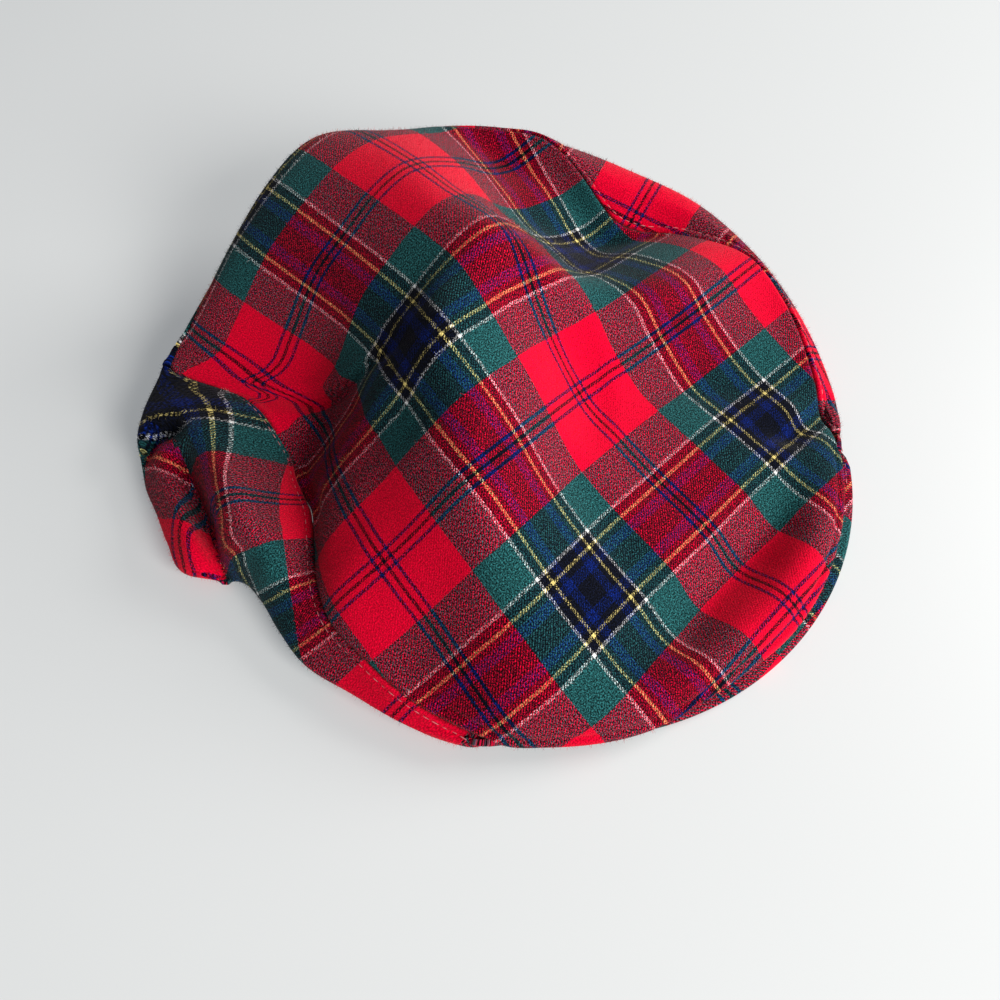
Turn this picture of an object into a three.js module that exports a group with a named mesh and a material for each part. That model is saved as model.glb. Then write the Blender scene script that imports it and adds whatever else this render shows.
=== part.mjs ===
// A soft flat cap of tartan wool, lying on its rim: a top panel, two side panels and a short peak.
// Millimetres. -Y is the front of the cap, +X the wearer's left, +Z up.
import * as THREE from 'three';
import { mergeVertices } from 'three/addons/utils/BufferGeometryUtils.js';

const cloth = 1.6;            // thickness of the wool
const creased = 1.05;         // and where it is pressed into the tight fold round the bottom
const seat = 0.3;             // clearance between neighbouring pieces
// The middle of the crown: its height, the slopes there and how they change, out to where the sections take over.
const crown = {
  height: 61, slopeX: -0.45, slopeY: 0.6, bendX: -0.009, twist: 0.01, bendY: -0.0017, from: 16, to: 46,
};
const opening = { halfWidth: 84, halfLength: 97, centreY: 6 };
const peak = { thickness: 4, bevel: 1.2, radius: 120.5, centreX: 14, centreY: -19, from: -30, to: 50, corner: 56 };
const sideEnds = { left: 46, right: 319 };   // bearings of the side panels' front ends
const grid = { step: 5, fineFrom: 215, fineTo: 275, topRows: 15, sideRows: 14, underRows: 3 };

// Cross-sections of the crown, one for each bearing round the cap: 0 is the front, 90 the wearer's left.
// inner is the height at a fixed distance from the middle, shoulder just inside the seam and mid half way
// between; seam is the edge of the top panel, wide the widest point below it and crest half way there.
const sections = [
  { bearing: 0, inner: 33, mid: 20, shoulder: 15, seamR: 135, seamZ: 6.5, crest: 2, wideR: 132, wideZ: -4 },
  { bearing: 15, inner: 31, mid: 19, shoulder: 12, seamR: 139, seamZ: 6.5, crest: 2, wideR: 135, wideZ: -4 },
  { bearing: 28, inner: 30, mid: 18, shoulder: 13, seamR: 140, seamZ: 6.5, crest: 2, wideR: 137, wideZ: -4 },
  { bearing: 48, inner: 30, mid: 20, shoulder: 15, seamR: 135, seamZ: 12, crest: 10, wideR: 140, wideZ: 8 },
  { bearing: 65, inner: 33, mid: 20, shoulder: 17, seamR: 132, seamZ: 17, crest: 14, wideR: 141, wideZ: 9 },
  { bearing: 80, inner: 38, mid: 33, shoulder: 27, seamR: 133, seamZ: 27, crest: 23, wideR: 141, wideZ: 16 },
  { bearing: 90, inner: 45, mid: 44, shoulder: 36, seamR: 131, seamZ: 33, crest: 30, wideR: 140, wideZ: 22 },
  { bearing: 105, inner: 55, mid: 42, shoulder: 35, seamR: 120, seamZ: 32, crest: 37, wideR: 140, wideZ: 30 },
  { bearing: 118, inner: 63, mid: 40, shoulder: 31, seamR: 110, seamZ: 37, crest: 44, wideR: 136, wideZ: 36 },
  { bearing: 135, inner: 73, mid: 49, shoulder: 43, seamR: 125, seamZ: 55, crest: 51, wideR: 135, wideZ: 40 },
  { bearing: 145, inner: 79, mid: 58, shoulder: 48, seamR: 129, seamZ: 57, crest: 50, wideR: 135, wideZ: 38 },
  { bearing: 155, inner: 81, mid: 70, shoulder: 60, seamR: 131, seamZ: 58, crest: 49, wideR: 136, wideZ: 36 },
  { bearing: 168, inner: 78, mid: 78, shoulder: 71, seamR: 129, seamZ: 61, crest: 50, wideR: 135, wideZ: 36 },
  { bearing: 180, inner: 73, mid: 75, shoulder: 73, seamR: 134, seamZ: 65, crest: 51, wideR: 137, wideZ: 36 },
  { bearing: 192, inner: 68, mid: 66, shoulder: 66, seamR: 133, seamZ: 59, crest: 47, wideR: 136, wideZ: 33 },
  { bearing: 205, inner: 63, mid: 52, shoulder: 50, seamR: 132, seamZ: 45, crest: 37, wideR: 136, wideZ: 26 },
  { bearing: 216, inner: 60, mid: 31, shoulder: 28, seamR: 136, seamZ: 30, crest: 26, wideR: 141, wideZ: 20 },
  { bearing: 221, inner: 57, mid: 24, shoulder: 21, seamR: 138, seamZ: 24, crest: 22, wideR: 144, wideZ: 18 },
  { bearing: 226, inner: 55, mid: 21, shoulder: 17, seamR: 126, seamZ: 19, crest: 21, wideR: 146, wideZ: 17 },
  { bearing: 231, inner: 55, mid: 26, shoulder: 19, seamR: 102, seamZ: 19, crest: 25, wideR: 147, wideZ: 17 },
  { bearing: 237, inner: 54, mid: 30, shoulder: 18, seamR: 91, seamZ: 17, crest: 26, wideR: 147, wideZ: 16 },
  { bearing: 243, inner: 53, mid: 34, shoulder: 19, seamR: 86, seamZ: 16, crest: 24, wideR: 145, wideZ: 9 },
  { bearing: 249, inner: 52, mid: 37, shoulder: 25, seamR: 85, seamZ: 18, crest: 24, wideR: 139, wideZ: 9 },
  { bearing: 255, inner: 50, mid: 39, shoulder: 30, seamR: 84, seamZ: 20, crest: 25, wideR: 135, wideZ: 9 },
  { bearing: 261, inner: 49, mid: 40, shoulder: 34, seamR: 84, seamZ: 21, crest: 25, wideR: 133, wideZ: 8 },
  { bearing: 267, inner: 50, mid: 40, shoulder: 33, seamR: 87, seamZ: 20, crest: 24, wideR: 121, wideZ: 8 },
  { bearing: 273, inner: 51, mid: 40, shoulder: 31, seamR: 92, seamZ: 18, crest: 21, wideR: 121, wideZ: 8 },
  { bearing: 280, inner: 54, mid: 39, shoulder: 28, seamR: 99, seamZ: 18, crest: 17, wideR: 123, wideZ: 8 },
  { bearing: 288, inner: 56, mid: 39, shoulder: 26, seamR: 106, seamZ: 18, crest: 14, wideR: 122, wideZ: 8 },
  { bearing: 298, inner: 57, mid: 40, shoulder: 23, seamR: 109, seamZ: 17, crest: 13, wideR: 120, wideZ: 8 },
  { bearing: 308, inner: 57, mid: 40, shoulder: 19, seamR: 113, seamZ: 15, crest: 12, wideR: 121, wideZ: 8 },
  { bearing: 318, inner: 54, mid: 40, shoulder: 21, seamR: 122, seamZ: 11, crest: 8, wideR: 126, wideZ: 4 },
  { bearing: 330, inner: 49, mid: 36, shoulder: 22, seamR: 129, seamZ: 6.5, crest: 2, wideR: 126, wideZ: -4 },
];
const ring = { innerR: 40, shoulderShare: 0.9 };          // where the inner and shoulder heights are taken
const tuck = { in: 8, height: 1.0 };                      // where the cloth has turned under the widest point
const under = { share: 0.5, height: 0.3 };                // the cloth half way on to the head opening
const leastWide = 7;                                      // narrowest fold that the grid can show
const leastFold = 6;                                      // height left over the folded-under cloth

// Folds seen from above: how wide each is to the left and right of its line, and the line's places with the
// rise there, above 0 for a ridge and below for a crease.
const folds = [
  {
    name: 'brow ridge', left: 15, right: 15,
    line: [{ x: -42, y: -40, rise: 3 }, { x: -50, y: -85, rise: 3 }],
  },
  {
    name: 'left hollow', left: 13, right: 13,
    line: [{ x: 62, y: 60, rise: -4 }, { x: 104, y: 40, rise: -4 }],
  },
  {
    name: 'right hollow', left: 12, right: 12,
    line: [{ x: -62, y: 44, rise: -4 }, { x: -74, y: 10, rise: -4 }],
  },
  {
    name: 'peak corner dent', left: 8, right: 8,
    line: [{ x: 106, y: -74, rise: -3 }, { x: 122, y: -72, rise: -3 }],
  },
  {
    name: 'arch crease', left: 4, right: 7,
    line: [{ x: -134, y: 69, rise: -6 }, { x: -124, y: 75, rise: -9 }, { x: -114, y: 78, rise: -10 }, { x: -107, y: 73, rise: -7 }, { x: -103, y: 63, rise: 0 }],
  },
  {
    name: 'lobe crease', left: 4, right: 6,
    line: [{ x: -112, y: 66, rise: 0 }, { x: -113, y: 58, rise: -9 }, { x: -115, y: 46, rise: -12 }, { x: -118, y: 27, rise: -13 }, { x: -124, y: 4, rise: -8 }],
  },
  {
    name: 'lobe', left: 7, right: 7,
    line: [{ x: -124, y: 58, rise: 2 }, { x: -127, y: 35, rise: 3 }, { x: -125, y: 18, rise: 2 }],
  },
  {
    name: 'side roll', left: 8, right: 8,
    line: [{ x: -101, y: 56, rise: 3 }, { x: -103, y: 34, rise: 4 }, { x: -109, y: -2, rise: 3 }],
  },
];
// Value at t of a smooth curve through knots { at, value }; a period joins its ends.
function smooth(knots, t, period = 0) {
  const count = knots.length;
  const knot = (i) => {
    if (!period) return knots[Math.min(Math.max(i, 0), count - 1)];
    const laps = Math.floor(i / count);
    return { at: knots[i - laps * count].at + laps * period, value: knots[i - laps * count].value };
  };
  const x = period ? t - Math.floor((t - knots[0].at) / period) * period : t;
  let i = 0;
  while (i < count - (period ? 1 : 2) && x >= knot(i + 1).at) i += 1;
  const [a, b, c, d] = [knot(i - 1), knot(i), knot(i + 1), knot(i + 2)];
  const span = c.at - b.at;
  const slopeB = (c.value - a.value) / (c.at - a.at);
  const slopeC = (d.value - b.value) / (d.at - b.at);
  const s = (x - b.at) / span;
  const ease = s * s * (3 - 2 * s);
  return b.value * (1 - ease) + c.value * ease
    + span * s * (1 - s) * (slopeB * (1 - s) - slopeC * s);
}

const [seamRow, wideRow, tuckRow, rimRow] = [4, 6, 7, 9];   // rows of a section at these places
const seamHalf = 0.08;              // half the gap of the back seam, in degrees

const wool = {
  top: new THREE.MeshStandardMaterial({ color: 0x9a2634, roughness: 0.95, metalness: 0 }),
  left: new THREE.MeshStandardMaterial({ color: 0xa32335, roughness: 0.95, metalness: 0 }),
  right: new THREE.MeshStandardMaterial({ color: 0x7a2b3a, roughness: 0.95, metalness: 0 }),
  peak: new THREE.MeshStandardMaterial({ color: 0x8c2030, roughness: 0.95, metalness: 0 }),
};

const blend = (x, low, high) => {
  const s = Math.min(Math.max((x - low) / (high - low), 0), 1);
  return s * s * (3 - 2 * s);
};
const radians = (degrees) => degrees * Math.PI / 180;
const column = (name, bearing) => smooth(sections.map((s) => ({ at: s.bearing, value: s[name] })), bearing, 360);

// How far the head opening's edge lies from the middle of the crown at a bearing.
function openingRadius(bearing) {
  const [dx, dy] = [Math.sin(radians(bearing)), -Math.cos(radians(bearing))];
  const { halfWidth: a, halfLength: b, centreY: c } = opening;
  const p = (dx * dx) / (a * a) + (dy * dy) / (b * b);
  const q = -(dy * c) / (b * b);
  const r = (c * c) / (b * b) - 1;
  return (-q + Math.sqrt(q * q - p * r)) / p;
}

// Height of what the cloth's edge rests on: the table, or the top of the peak in front.
function restHeight(bearing) {
  const off = Math.abs(((bearing + 180) % 360) - 180);
  return (peak.thickness + seat) * (1 - blend(off, 57, 68));
}

// How much a fold lifts the cloth at a place. Folds narrower than the grid can show are widened.
function foldRise(fold, x, y) {
  let [nearest, change] = [Infinity, 0];
  fold.line.slice(1).forEach((to, i) => {
    const from = fold.line[i];
    const [runX, runY] = [to.x - from.x, to.y - from.y];
    const along = ((x - from.x) * runX + (y - from.y) * runY) / (runX * runX + runY * runY);
    const run = Math.min(Math.max(along, 0), 1);
    const off = Math.hypot(x - from.x - run * runX, y - from.y - run * runY);
    if (off >= nearest) return;
    nearest = off;
    const side = (runX * (y - from.y) - runY * (x - from.x)) / Math.hypot(runX, runY) / Math.max(off, 0.001);
    const [left, right] = [Math.max(fold.left, leastWide), Math.max(fold.right, leastWide)];
    const wide = (left + right) / 2 + ((left - right) / 2) * Math.min(Math.max(side, -1), 1);
    change = (from.rise + (to.rise - from.rise) * run) * Math.exp(-((off / wide) ** 2));
  });
  return change;
}

// A point on the outside of the crown. row runs 0 at the middle, 4 at the seam, 6 at the widest point,
// 9 at the head opening.
function crownPoint(bearing, row) {
  const seamR = column('seamR', bearing);
  const wideR = column('wideR', bearing);
  const rimR = openingRadius(bearing);
  const rest = restHeight(bearing);
  const lean = crown.slopeX * Math.sin(radians(bearing)) - crown.slopeY * Math.cos(radians(bearing));
  const stops = [
    { r: -ring.innerR, z: column('inner', bearing) - 2 * lean * ring.innerR },
    { r: 0, z: crown.height },
    { r: ring.innerR, z: column('inner', bearing) },
    { r: (ring.innerR + seamR * ring.shoulderShare) / 2, z: column('mid', bearing) },
    { r: seamR * ring.shoulderShare, z: column('shoulder', bearing) },
    { r: seamR, z: column('seamZ', bearing) },
    { r: (seamR + wideR) / 2, z: column('crest', bearing) },
    { r: wideR, z: column('wideZ', bearing) },
    { r: wideR - tuck.in, z: rest + tuck.height },
    { r: wideR + (rimR - wideR) * under.share, z: rest + under.height },
    { r: rimR, z: rest },
  ];
  const r = smooth(stops.map((s, i) => ({ at: i - 1, value: s.r })), row);
  let z = smooth(stops.map((s, i) => ({ at: i - 1, value: s.z })), row);
  const x = r * Math.sin(radians(bearing));
  const y = -r * Math.cos(radians(bearing));
  const middle = crown.height + crown.slopeX * x + crown.slopeY * y
    + crown.bendX * x * x + crown.twist * x * y + crown.bendY * y * y;
  z += (middle - z) * (1 - blend(r, crown.from, crown.to));
  const upper = 1 - blend(row, 5.2, 6.6);
  for (const fold of folds) z += upper * foldRise(fold, x, y);
  const lowest = rest + leastFold * upper * blend(row, 4, 4.5);
  return new THREE.Vector3(x, y, Math.max(z, lowest));
}

// Outward direction of the crown's outside.
function crownNormal(bearing, row) {
  const step = 0.02;
  if (row < step) return new THREE.Vector3(0, 0, 1);
  const around = crownPoint(bearing + 1, row).sub(crownPoint(bearing - 1, row));
  const down = crownPoint(bearing, Math.min(row + step, rimRow)).sub(crownPoint(bearing, row - step));
  return down.cross(around).normalize();
}

// A closed cloth wall over a grid of places { bearing, row }, joined along every open edge.
function clothWall(name, material, bearings, rows, ring) {
  const points = [];
  const [across, down] = [bearings.length - 1, rows(bearings[0]).length - 1];
  for (const inside of [0, 1]) {
    bearings.forEach((bearing) => rows(bearing).forEach((row) => {
      const thickness = cloth - (cloth - creased) * (1 - blend(Math.abs(row - wideRow), 0.3, 1));
      const place = crownPoint(bearing, row);
      points.push(...place.addScaledVector(crownNormal(bearing, row), -inside * thickness));
    }));
  }
  const sheet = (across + 1) * (down + 1);
  const index = (side, i, j) => side * sheet + (ring ? i % across : i) * (down + 1) + j;
  const triangles = [];
  const quad = (a, b, c, d) => triangles.push(a, b, c, a, c, d);
  for (let i = 0; i < across; i += 1) {
    for (let j = 0; j < down; j += 1) {
      quad(index(0, i, j), index(0, i, j + 1), index(0, i + 1, j + 1), index(0, i + 1, j));
      quad(index(1, i, j), index(1, i + 1, j), index(1, i + 1, j + 1), index(1, i, j + 1));
    }
    quad(index(0, i, down), index(1, i, down), index(1, i + 1, down), index(0, i + 1, down));
    if (!ring) quad(index(0, i, 0), index(0, i + 1, 0), index(1, i + 1, 0), index(1, i, 0));
  }
  if (!ring) {
    for (let j = 0; j < down; j += 1) {
      quad(index(0, 0, j), index(1, 0, j), index(1, 0, j + 1), index(0, 0, j + 1));
      quad(index(0, across, j), index(0, across, j + 1), index(1, across, j + 1), index(1, across, j));
    }
  }
  return closedMesh(name, material, points, triangles);
}

function closedMesh(name, material, points, triangles) {
  let geometry = new THREE.BufferGeometry();
  geometry.setAttribute('position', new THREE.Float32BufferAttribute(points, 3));
  geometry.setIndex(triangles);
  geometry = mergeVertices(geometry, 0.001);
  const kept = [];
  const index = geometry.index.array;
  for (let i = 0; i < index.length; i += 3) {
    const [a, b, c] = [index[i], index[i + 1], index[i + 2]];
    if (a !== b && b !== c && c !== a) kept.push(a, b, c);
  }
  geometry.setIndex(kept);
  geometry.computeVertexNormals();
  const mesh = new THREE.Mesh(geometry, material);
  mesh.name = name;
  return mesh;
}

const steps = (count, from, to) => Array.from({ length: count + 1 }, (_, i) => from + ((to - from) * i) / count);

// The bearings of the grid between two ends, closer together where the right side is folded.
function bearingsBetween(from, to) {
  const inner = [];
  for (let bearing = 0; bearing < 360; bearing += grid.step) {
    inner.push(bearing);
    if (bearing >= grid.fineFrom && bearing < grid.fineTo) inner.push(bearing + grid.step / 2);
  }
  return [from, ...inner.filter((bearing) => bearing > from + 1 && bearing < to - 1), to];
}

function makeTopPanel() {
  const rows = () => steps(grid.topRows, 0, seamRow);
  return clothWall('top_panel', wool.top, bearingsBetween(0, 360), rows, true);
}

// A side panel runs from the seam, a seat below the top panel, down to the head opening.
function makeSidePanel(name, material, from, to) {
  const rows = (bearing) => {
    const slope = crownPoint(bearing, seamRow + 0.05).distanceTo(crownPoint(bearing, seamRow)) / 0.05;
    const upper = steps(grid.sideRows, seamRow + seat / slope, tuckRow);
    return [...upper, ...steps(grid.underRows, tuckRow, rimRow).slice(1)];
  };
  return clothWall(name, material, bearingsBetween(from, to), rows, false);
}

// The peak: a flat crescent from the head opening to a round front edge, with rounded corners.
function makePeak() {
  const reach = peak.radius - peak.bevel;
  const onArc = (turn) => [
    peak.centreX + reach * Math.sin(radians(turn)),
    peak.centreY - reach * Math.cos(radians(turn)),
  ];
  const onOpening = (bearing) => {
    const distance = openingRadius(bearing) + peak.bevel;
    return [distance * Math.sin(radians(bearing)), -distance * Math.cos(radians(bearing))];
  };
  const turns = steps(20, peak.from, peak.to);
  const shape = new THREE.Shape();
  shape.moveTo(...onArc(turns[0]));
  for (const turn of turns.slice(1)) shape.lineTo(...onArc(turn));
  shape.quadraticCurveTo(...onArc(peak.to + 12), ...onOpening(peak.corner));
  for (const bearing of steps(16, peak.corner, -peak.corner).slice(1)) shape.lineTo(...onOpening(bearing));
  shape.quadraticCurveTo(...onArc(peak.from - 12), ...onArc(peak.from));
  const geometry = new THREE.ExtrudeGeometry(shape, {
    depth: peak.thickness - 2 * peak.bevel,
    bevelThickness: peak.bevel,
    bevelSize: peak.bevel,
    bevelSegments: 2,
    curveSegments: 6,
  });
  const mesh = new THREE.Mesh(geometry, wool.peak);
  mesh.name = 'peak';
  mesh.position.z = peak.bevel;
  return mesh;
}

const cap = new THREE.Group();
cap.add(
  makeTopPanel(),
  makeSidePanel('side_panel_left', wool.left, sideEnds.left, 180 - seamHalf),
  makeSidePanel('side_panel_right', wool.right, 180 + seamHalf, sideEnds.right),
  makePeak(),
);

// The origin goes to the middle of the cap's base.
const extent = new THREE.Box3().setFromObject(cap);
const middle = extent.getCenter(new THREE.Vector3());
cap.children.forEach((mesh) => mesh.position.add(new THREE.Vector3(-middle.x, -middle.y, -extent.min.z)));

export default cap;
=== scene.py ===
# A soft flat cap in red tartan wool, slumped on its rim, on a plain pale floor.
# Shapes are worked out in millimetres round the crown's middle: -Y is the front, +X the wearer's left.
import math
import bmesh
import bpy
import numpy as np
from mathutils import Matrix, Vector


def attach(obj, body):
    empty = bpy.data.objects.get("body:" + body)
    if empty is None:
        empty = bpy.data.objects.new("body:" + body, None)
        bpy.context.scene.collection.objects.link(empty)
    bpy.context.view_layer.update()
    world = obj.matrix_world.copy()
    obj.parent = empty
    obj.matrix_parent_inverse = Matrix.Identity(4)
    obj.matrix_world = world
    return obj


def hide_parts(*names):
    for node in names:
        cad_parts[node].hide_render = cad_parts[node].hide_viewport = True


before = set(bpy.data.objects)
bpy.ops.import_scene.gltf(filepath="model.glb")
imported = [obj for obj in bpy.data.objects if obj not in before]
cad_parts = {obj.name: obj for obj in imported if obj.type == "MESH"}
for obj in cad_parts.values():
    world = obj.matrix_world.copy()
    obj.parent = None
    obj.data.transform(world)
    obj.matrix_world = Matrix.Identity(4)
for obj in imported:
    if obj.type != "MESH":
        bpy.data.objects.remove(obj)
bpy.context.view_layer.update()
print("frame loaded")

crownPlace = (-3.77, 1.08)          # the crown's middle, from the origin of the frame
clothThickness = 1.6
creasedThickness = 1.05             # in the tight fold round the bottom
leastWall = 0.3                     # left where an edge is rolled
seamGap = 0.3

crownMiddle = {"height": 61, "slopeX": -0.45, "slopeY": 0.6, "bendX": -0.009, "twist": 0.01, "bendY": -0.0017,
               "from": 16, "to": 46}
headOpening = {"halfWidth": 84, "halfLength": 97, "centreY": 6}
ring = {"innerR": 40, "shoulderShare": 0.9}
tuck = {"in": 8, "height": 1.0}
under = {"share": 0.5, "height": 0.3}
leastFold = 6                       # height left over the folded-under cloth
seamClear = 0.6                     # and how far below the seam it stays
foldRows = (5.2, 6.6)               # the folds die out over these rows
liftRows = (4, 4.5)                 # and the least height comes in over these
sideEnds = {"left": 44, "right": 344}
peakShape = {"thickness": 4, "radius": 119, "centreX": 16.5, "centreY": -17, "from": -30, "to": 50, "corner": 56,
             "clothLeaves": (57, 68)}
seamRow, wideRow, tuckRow, rimRow = 4, 6, 7, 9

# One row for each cross-section: bearing 0 is the front and 90 the wearer's left. inner is the height at a fixed
# distance from the middle, shoulder the one just inside the seam and mid the one half way between; seam is the edge of
# the top panel, wide the widest point below it and crest the height half way there.
sectionNames = ("bearing", "inner", "mid", "shoulder", "seamR", "seamZ", "crest", "wideR", "wideZ")
sections = [
    (0, 33, 20, 15, 132.5, 6.5, 2, 130, -4),
    (15, 31, 19, 12, 136.5, 6.5, 2, 133, -4),
    (28, 30, 18, 13, 138, 6.5, 2, 135.5, -4),
    (48, 30, 20, 15, 137.5, 10, 8, 135.5, 6),
    (57, 31, 20, 16, 133, 13, 11, 140, 8),
    (65, 33, 20, 17, 132, 17, 14, 141, 9),
    (80, 38, 33, 27, 133, 27, 23, 141, 16),
    (90, 45, 44, 36, 131, 33, 30, 140, 22),
    (105, 55, 42, 35, 120, 32, 37, 140, 30),
    (118, 63, 40, 31, 110, 37, 44, 136, 36),
    (135, 73, 49, 43, 125, 55, 51, 135, 40),
    (145, 79, 58, 48, 129, 57, 50, 135, 38),
    (155, 81, 70, 60, 132, 58, 49, 136, 36),
    (168, 78, 78, 71, 130, 61, 50, 135.5, 36),
    (180, 73, 75, 73, 136, 65, 51, 138, 36),
    (192, 68, 66, 66, 133, 59, 47, 136, 33),
    (205, 63, 54, 50, 137.5, 36, 31, 138.5, 26),
    (216, 60, 31, 28, 141.3, 23, 21.5, 142, 20),
    (221, 57, 24, 21, 143.2, 19.5, 19, 144, 18),
    (224, 56, 22.5, 19, 139, 19, 19.5, 145, 17.5),
    (226.5, 55, 22, 17.5, 112, 17.5, 21, 146, 17),
    (229, 55, 24.5, 18, 103, 18, 23, 146.5, 17),
    (232, 55, 27.5, 19, 97, 18, 25, 147, 17),
    (237, 54, 30, 18, 91, 17, 26, 147, 16),
    (243, 53, 34, 19, 86, 16, 24, 145, 9),
    (249, 52, 37, 22.5, 85, 17.5, 24, 140.5, 9),
    (255, 50, 38.5, 26, 84, 18.5, 25, 138, 9),
    (261, 49, 39, 29, 84, 19.5, 25, 135.5, 8),
    (267, 50, 39, 28.5, 87, 18.5, 24, 119.5, 8),
    (273, 51, 39.5, 27.5, 92, 17, 21, 116.5, 8),
    (280, 54, 39, 26, 99, 17.5, 17, 118.5, 8),
    (288, 56, 39, 26, 106.5, 18, 14, 121.5, 8),
    (298, 57, 40, 23, 111.5, 17, 13, 121.5, 8),
    (308, 57, 40, 19, 118, 15, 12, 124.5, 8),
    (318, 54, 40, 21, 124, 11, 9, 127.5, 5),
    (324, 52, 38, 22, 128, 8, 7, 127.5, 4),
    (330, 49, 36, 22, 128.8, 6.5, 6, 126, 3),
    (345, 41, 28, 18.5, 132, 6.5, 4, 128.5, 0),
]

# Folds seen from above: how wide each is to the left and right of its line, and the line's places x, y with the
# rise there, above 0 for a ridge and below for a crease.
folds = [
    (15, 15, [(-42, -40, 3), (-50, -85, 3)]),                 # brow ridge
    (13, 13, [(62, 60, -4), (104, 40, -4)]),                  # left hollow
    # right hollow
    (13, 13, [(-50, 56, -3), (-60, 44, -7), (-72, 33, -8), (-82, 14, -6), (-90, 0, -3)]),
    (6, 6, [(82, -66, -2), (92, -71, -6), (104, -71, -6), (116, -70, -4)]),      # peak corner dent
    # the front: a valley behind the peak's edge, and the roll of cloth over it
    (10.5, 11, [(80, -86, -2), (61, -95, -7), (44, -99, -8.5), (22, -102, -8.5), (0, -107, -7), (-23, -106, -3)]),
    (9, 9, [(84, -100, 1), (62, -114, 3), (34, -123, 3), (6, -125, 2), (-14, -122, 1)]),
    # arch crease
    (3, 5, [(-136, 68, -9), (-126, 75, -12), (-116, 77, -12), (-109, 73, -8), (-105, 65, 0)]),
    # lobe crease
    (4, 5, [(-112, 64, 0), (-114, 57, -9), (-116, 45, -14), (-119, 27, -16), (-125, 4, -12)]),
    (7, 7, [(-124, 58, 2), (-127, 35, 3), (-125, 18, 2)]),    # lobe
    (8, 8, [(-102, 58, 3), (-104, 34, 6), (-110, -2, 5)]),    # side roll
]


def column(name):
    return np.array([row[sectionNames.index(name)] for row in sections], float)


def smoothThrough(at, values, t, period=None):
    # a smooth curve through values at the places at, closed on itself where a period is given
    at, values, t = np.asarray(at, float), np.asarray(values, float), np.asarray(t, float)
    count = len(at)
    if period:
        t = at[0] + (t - at[0]) % period
        at = np.concatenate([[at[-1] - period], at, [at[0] + period, at[1] + period]])
        values = np.concatenate([values[-1:], values, values[:2]])
        i = np.clip(np.searchsorted(at, t, side="right") - 1, 1, count)
    else:
        at = np.concatenate([at[:1], at, at[-1:]])
        values = np.concatenate([values[:1], values, values[-1:]])
        i = np.clip(np.searchsorted(at[1:-1], t, side="right"), 1, count - 1)
    span = at[i + 1] - at[i]
    slopeB = (values[i + 1] - values[i - 1]) / (at[i + 1] - at[i - 1])
    slopeC = (values[i + 2] - values[i]) / (at[i + 2] - at[i])
    s = (t - at[i]) / span
    ease = s * s * (3 - 2 * s)
    return values[i] * (1 - ease) + values[i + 1] * ease + span * s * (1 - s) * (slopeB * (1 - s) - slopeC * s)


def blend(x, low, high):
    s = np.clip((x - low) / (high - low), 0, 1)
    return s * s * (3 - 2 * s)


def openingRadius(bearing):
    dx, dy = np.sin(np.radians(bearing)), -np.cos(np.radians(bearing))
    a, b, c = headOpening["halfWidth"], headOpening["halfLength"], headOpening["centreY"]
    p, q, r = dx**2 / a**2 + dy**2 / b**2, -dy * c / b**2, c**2 / b**2 - 1
    return (-q + np.sqrt(q * q - p * r)) / p


def restHeight(bearing):
    off = np.abs((bearing + 180) % 360 - 180)
    return (peakShape["thickness"] + seamGap) * (1 - blend(off, *peakShape["clothLeaves"]))


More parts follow.
